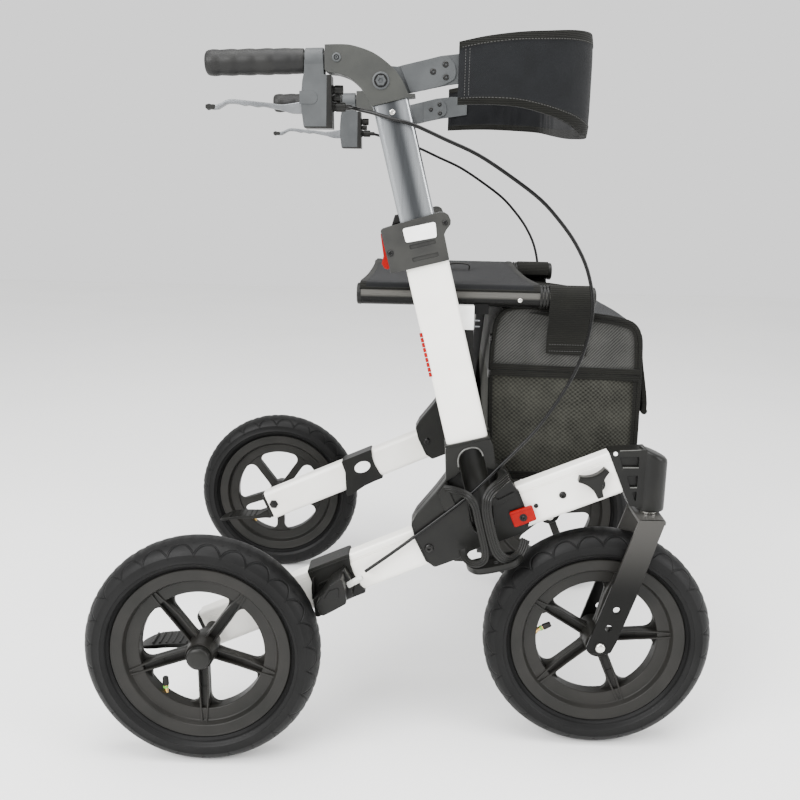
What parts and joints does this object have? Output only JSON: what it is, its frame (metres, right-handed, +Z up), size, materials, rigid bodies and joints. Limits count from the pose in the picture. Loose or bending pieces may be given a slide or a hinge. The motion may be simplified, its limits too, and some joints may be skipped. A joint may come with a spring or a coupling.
{
  "type": "outdoor rollator",
  "caption": "Folding outdoor rollator with large tyred wheels, height-adjustable handles, hand brakes, seat, backrest strap, bag and cane holder.",
  "frame": {"origin": "centre of the bounding box in X and Y, on the floor plane that the wheels stand on", "axes": "+X the way it is pushed, -Y the user's right, +Z up"},
  "size_m": [0.8346, 0.74, 0.9415],
  "materials": {
    "frame_white": "pearl white powder coat, satin",
    "anodised_aluminium": "satin anodised",
    "elbow_grey": "dark grey metallic paint, satin",
    "lever_grey": "mid grey metallic paint, satin",
    "black_plastic": "fine-grained black glass-filled nylon",
    "fork_black": "black powder coat, satin",
    "rim_black": "moulded black nylon, semi-matte",
    "tyre_rubber": "black tyre rubber with a slight sheen",
    "grip_rubber": "matt soft rubber",
    "red_plastic": "signal red moulded plastic, semi-gloss",
    "black_fabric": "black woven polyester",
    "cable_black": "glossy black cable sheath",
    "brace_black": "black powder coat"
  },
  "bodies": {
    "frame_right": {"upright_right": "frame_white", "front_leg_right": "frame_white", "rear_leg_right": "frame_white", "lower_joint_right": "black_plastic", "fork_head_right": "black_plastic", "rear_axle_right": "black_plastic", "collar_right": "black_plastic", "brake_sleeve_right": "black_plastic", "kerb_pedal_right": "black_plastic", "brake_cable_right": "cable_black", "cane_holder": "black_plastic"},
    "left_rail_brace": {"cross_tube_left": "brace_black", "seat_rail_left": "brace_black"},
    "right_rail_brace": {"cross_tube_right": "brace_black", "seat_rail_right": "brace_black", "seat": "black_fabric"},
    "rear_wheel_right": {"tyre_rear_right": "tyre_rubber", "rim_rear_right": "rim_black"},
    "fork_right": {"fork_right": "fork_black"},
    "front_wheel_right": {"tyre_front_right": "tyre_rubber", "rim_front_right": "rim_black"},
    "handle_right": {"height_tube_right": "anodised_aluminium", "elbow_right": "elbow_grey", "grip_right": "grip_rubber", "brake_housing_right": "lever_grey"},
    "brake_lever_right": {"brake_lever_right": "lever_grey"},
    "brake_shoe_right": {"brake_shoe_right": "black_plastic"},
    "backrest_right": {"backrest_arm_right": "lever_grey", "backrest_pad": "black_fabric"},
    "collar_lever_right": {"collar_lever_right": "red_plastic"},
    "leg_latch_right": {"leg_latch_right": "red_plastic"},
    "clamp_knob_right": {"clamp_knob_right": "black_plastic"},
    "frame_left": {"upright_left": "frame_white", "front_leg_left": "frame_white", "rear_leg_left": "frame_white", "lower_joint_left": "black_plastic", "fork_head_left": "black_plastic", "rear_axle_left": "black_plastic", "collar_left": "black_plastic", "brake_sleeve_left": "black_plastic", "kerb_pedal_left": "black_plastic", "brake_cable_left": "cable_black"},
    "rear_wheel_left": {"tyre_rear_left": "tyre_rubber", "rim_rear_left": "rim_black"},
    "fork_left": {"fork_left": "fork_black"},
    "front_wheel_left": {"tyre_front_left": "tyre_rubber", "rim_front_left": "rim_black"},
    "handle_left": {"height_tube_left": "anodised_aluminium", "elbow_left": "elbow_grey", "grip_left": "grip_rubber", "brake_housing_left": "lever_grey"},
    "brake_lever_left": {"brake_lever_left": "lever_grey"},
    "brake_shoe_left": {"brake_shoe_left": "black_plastic"},
    "backrest_left": {"backrest_arm_left": "lever_grey"},
    "collar_lever_left": {"collar_lever_left": "red_plastic"},
    "leg_latch_left": {"leg_latch_left": "red_plastic"},
    "clamp_knob_left": {"clamp_knob_left": "black_plastic"},
    "bag": {"bag": "black_fabric"},
    "bag_lid": {"bag_lid": "black_fabric"}
  },
  "joints": [
    {"name": "brace_fold", "type": "hinge", "parent": "frame_right", "child": "left_rail_brace", "pos_m": [0.1037, -0.225, 0.27], "axis": [1, 0, 0], "range_deg": [0, 32.5]},
    {"name": "brace_scissor", "type": "hinge", "parent": "left_rail_brace", "child": "right_rail_brace", "pos_m": [0.097, 0, 0.44304], "axis": [1, 0, 0], "range_deg": [-65, 0], "deforming": ["seat", "backrest_pad", "bag", "bag_lid"]},
    {"name": "left_frame_fold", "type": "hinge", "parent": "right_rail_brace", "child": "frame_left", "pos_m": [0.091, 0.225, 0.27], "axis": [1, 0, 0], "range_deg": [0, 32.5]},
    {"name": "bag_hang", "type": "hinge", "parent": "right_rail_brace", "child": "bag", "pos_m": [0.2065, -0.221, 0.613], "axis": [1, 0, 0], "range_deg": [0, 32.5]},
    {"name": "rear_wheel_right_spin", "type": "hinge", "parent": "frame_right", "child": "rear_wheel_right", "pos_m": [-0.263, -0.335, 0.15425], "axis": [0, 1, 0], "continuous": true},
    {"name": "fork_right_swivel", "type": "hinge", "parent": "frame_right", "child": "fork_right", "pos_m": [0.322, -0.262, 0.345], "axis": [0, 0, 1], "continuous": true},
    {"name": "front_wheel_right_spin", "type": "hinge", "parent": "fork_right", "child": "front_wheel_right", "pos_m": [0.263, -0.262, 0.15425], "axis": [0, 1, 0], "continuous": true},
    {"name": "handle_right_slide", "type": "slide", "parent": "frame_right", "child": "handle_right", "axis": [-0.2487, 0, 0.9686], "range_m": [-0.12, 0.06], "deforming": ["brake_cable_right"]},
    {"name": "brake_right_squeeze", "type": "hinge", "parent": "handle_right", "child": "brake_lever_right", "pos_m": [-0.129, -0.262, 0.852], "axis": [0, 1, 0], "range_deg": [0, 12], "stiffness_Nm_per_rad": 0.6, "springref_deg": -17.19},
    {"name": "brake_right_press", "type": "slide", "parent": "frame_right", "child": "brake_shoe_right", "axis": [-0.9128, 0, -0.4083], "range_m": [0, 0.0045], "stiffness_N_per_m": 400, "springref_m": -0.004},
    {"name": "collar_lever_right_press", "type": "hinge", "parent": "frame_right", "child": "collar_lever_right", "pos_m": [-0.0282, -0.262, 0.67], "axis": [0, -1, 0], "range_deg": [0, 25], "stiffness_Nm_per_rad": 0.1, "springref_deg": -17.19},
    {"name": "leg_latch_right_turn", "type": "hinge", "parent": "frame_right", "child": "leg_latch_right", "pos_m": [0.1533, -0.262, 0.3298], "axis": [0, 1, 0], "range_deg": [0, 90]},
    {"name": "clamp_knob_right_turn", "type": "hinge", "parent": "frame_right", "child": "clamp_knob_right", "pos_m": [0.2492, -0.262, 0.3757], "axis": [0, 1, 0], "range_deg": [0, 180]},
    {"name": "rear_wheel_left_spin", "type": "hinge", "parent": "frame_left", "child": "rear_wheel_left", "pos_m": [-0.263, 0.335, 0.15425], "axis": [0, 1, 0], "continuous": true},
    {"name": "fork_left_swivel", "type": "hinge", "parent": "frame_left", "child": "fork_left", "pos_m": [0.322, 0.262, 0.345], "axis": [0, 0, 1], "continuous": true},
    {"name": "front_wheel_left_spin", "type": "hinge", "parent": "fork_left", "child": "front_wheel_left", "pos_m": [0.263, 0.262, 0.15425], "axis": [0, 1, 0], "continuous": true},
    {"name": "handle_left_slide", "type": "slide", "parent": "frame_left", "child": "handle_left", "axis": [-0.2487, 0, 0.9686], "range_m": [-0.12, 0.06], "deforming": ["brake_cable_left"]},
    {"name": "brake_left_squeeze", "type": "hinge", "parent": "handle_left", "child": "brake_lever_left", "pos_m": [-0.129, 0.262, 0.852], "axis": [0, 1, 0], "range_deg": [0, 12], "stiffness_Nm_per_rad": 0.6, "springref_deg": -17.19},
    {"name": "brake_left_press", "type": "slide", "parent": "frame_left", "child": "brake_shoe_left", "axis": [-0.9128, 0, -0.4083], "range_m": [0, 0.0045], "stiffness_N_per_m": 400, "springref_m": -0.004},
    {"name": "collar_lever_left_press", "type": "hinge", "parent": "frame_left", "child": "collar_lever_left", "pos_m": [-0.0282, 0.262, 0.67], "axis": [0, -1, 0], "range_deg": [0, 25], "stiffness_Nm_per_rad": 0.1, "springref_deg": -17.19},
    {"name": "leg_latch_left_turn", "type": "hinge", "parent": "frame_left", "child": "leg_latch_left", "pos_m": [0.1533, 0.262, 0.3298], "axis": [0, 1, 0], "range_deg": [0, 90]},
    {"name": "clamp_knob_left_turn", "type": "hinge", "parent": "frame_left", "child": "clamp_knob_left", "pos_m": [0.2492, 0.262, 0.3757], "axis": [0, 1, 0], "range_deg": [0, 180]},
    {"name": "backrest_tilt", "type": "hinge", "parent": "handle_right", "child": "backrest_right", "pos_m": [-0.0438, -0.262, 0.8753], "axis": [0, -1, 0], "range_deg": [0, 90]},
    {"name": "backrest_tilt_left", "type": "hinge", "parent": "handle_left", "child": "backrest_left", "pos_m": [-0.0438, 0.262, 0.8753], "axis": [0, -1, 0], "range_deg": [0, 90]},
    {"name": "bag_lid_lift", "type": "hinge", "parent": "bag", "child": "bag_lid", "pos_m": [0.173, 0, 0.596], "axis": [0, -1, 0], "range_deg": [0, 95]}
  ],
  "couplings": [
    {"joint": "brace_scissor", "follows": "brace_fold", "ratio": -2},
    {"joint": "left_frame_fold", "follows": "brace_fold", "ratio": 1},
    {"joint": "bag_hang", "follows": "brace_fold", "ratio": 1},
    {"joint": "brake_right_press", "follows": "brake_right_squeeze", "m_per_rad": 0.0214},
    {"joint": "brake_left_press", "follows": "brake_left_squeeze", "m_per_rad": 0.0214},
    {"joint": "handle_left_slide", "follows": "handle_right_slide", "ratio": 1},
    {"joint": "backrest_tilt_left", "follows": "backrest_tilt", "ratio": 1}
  ]
}
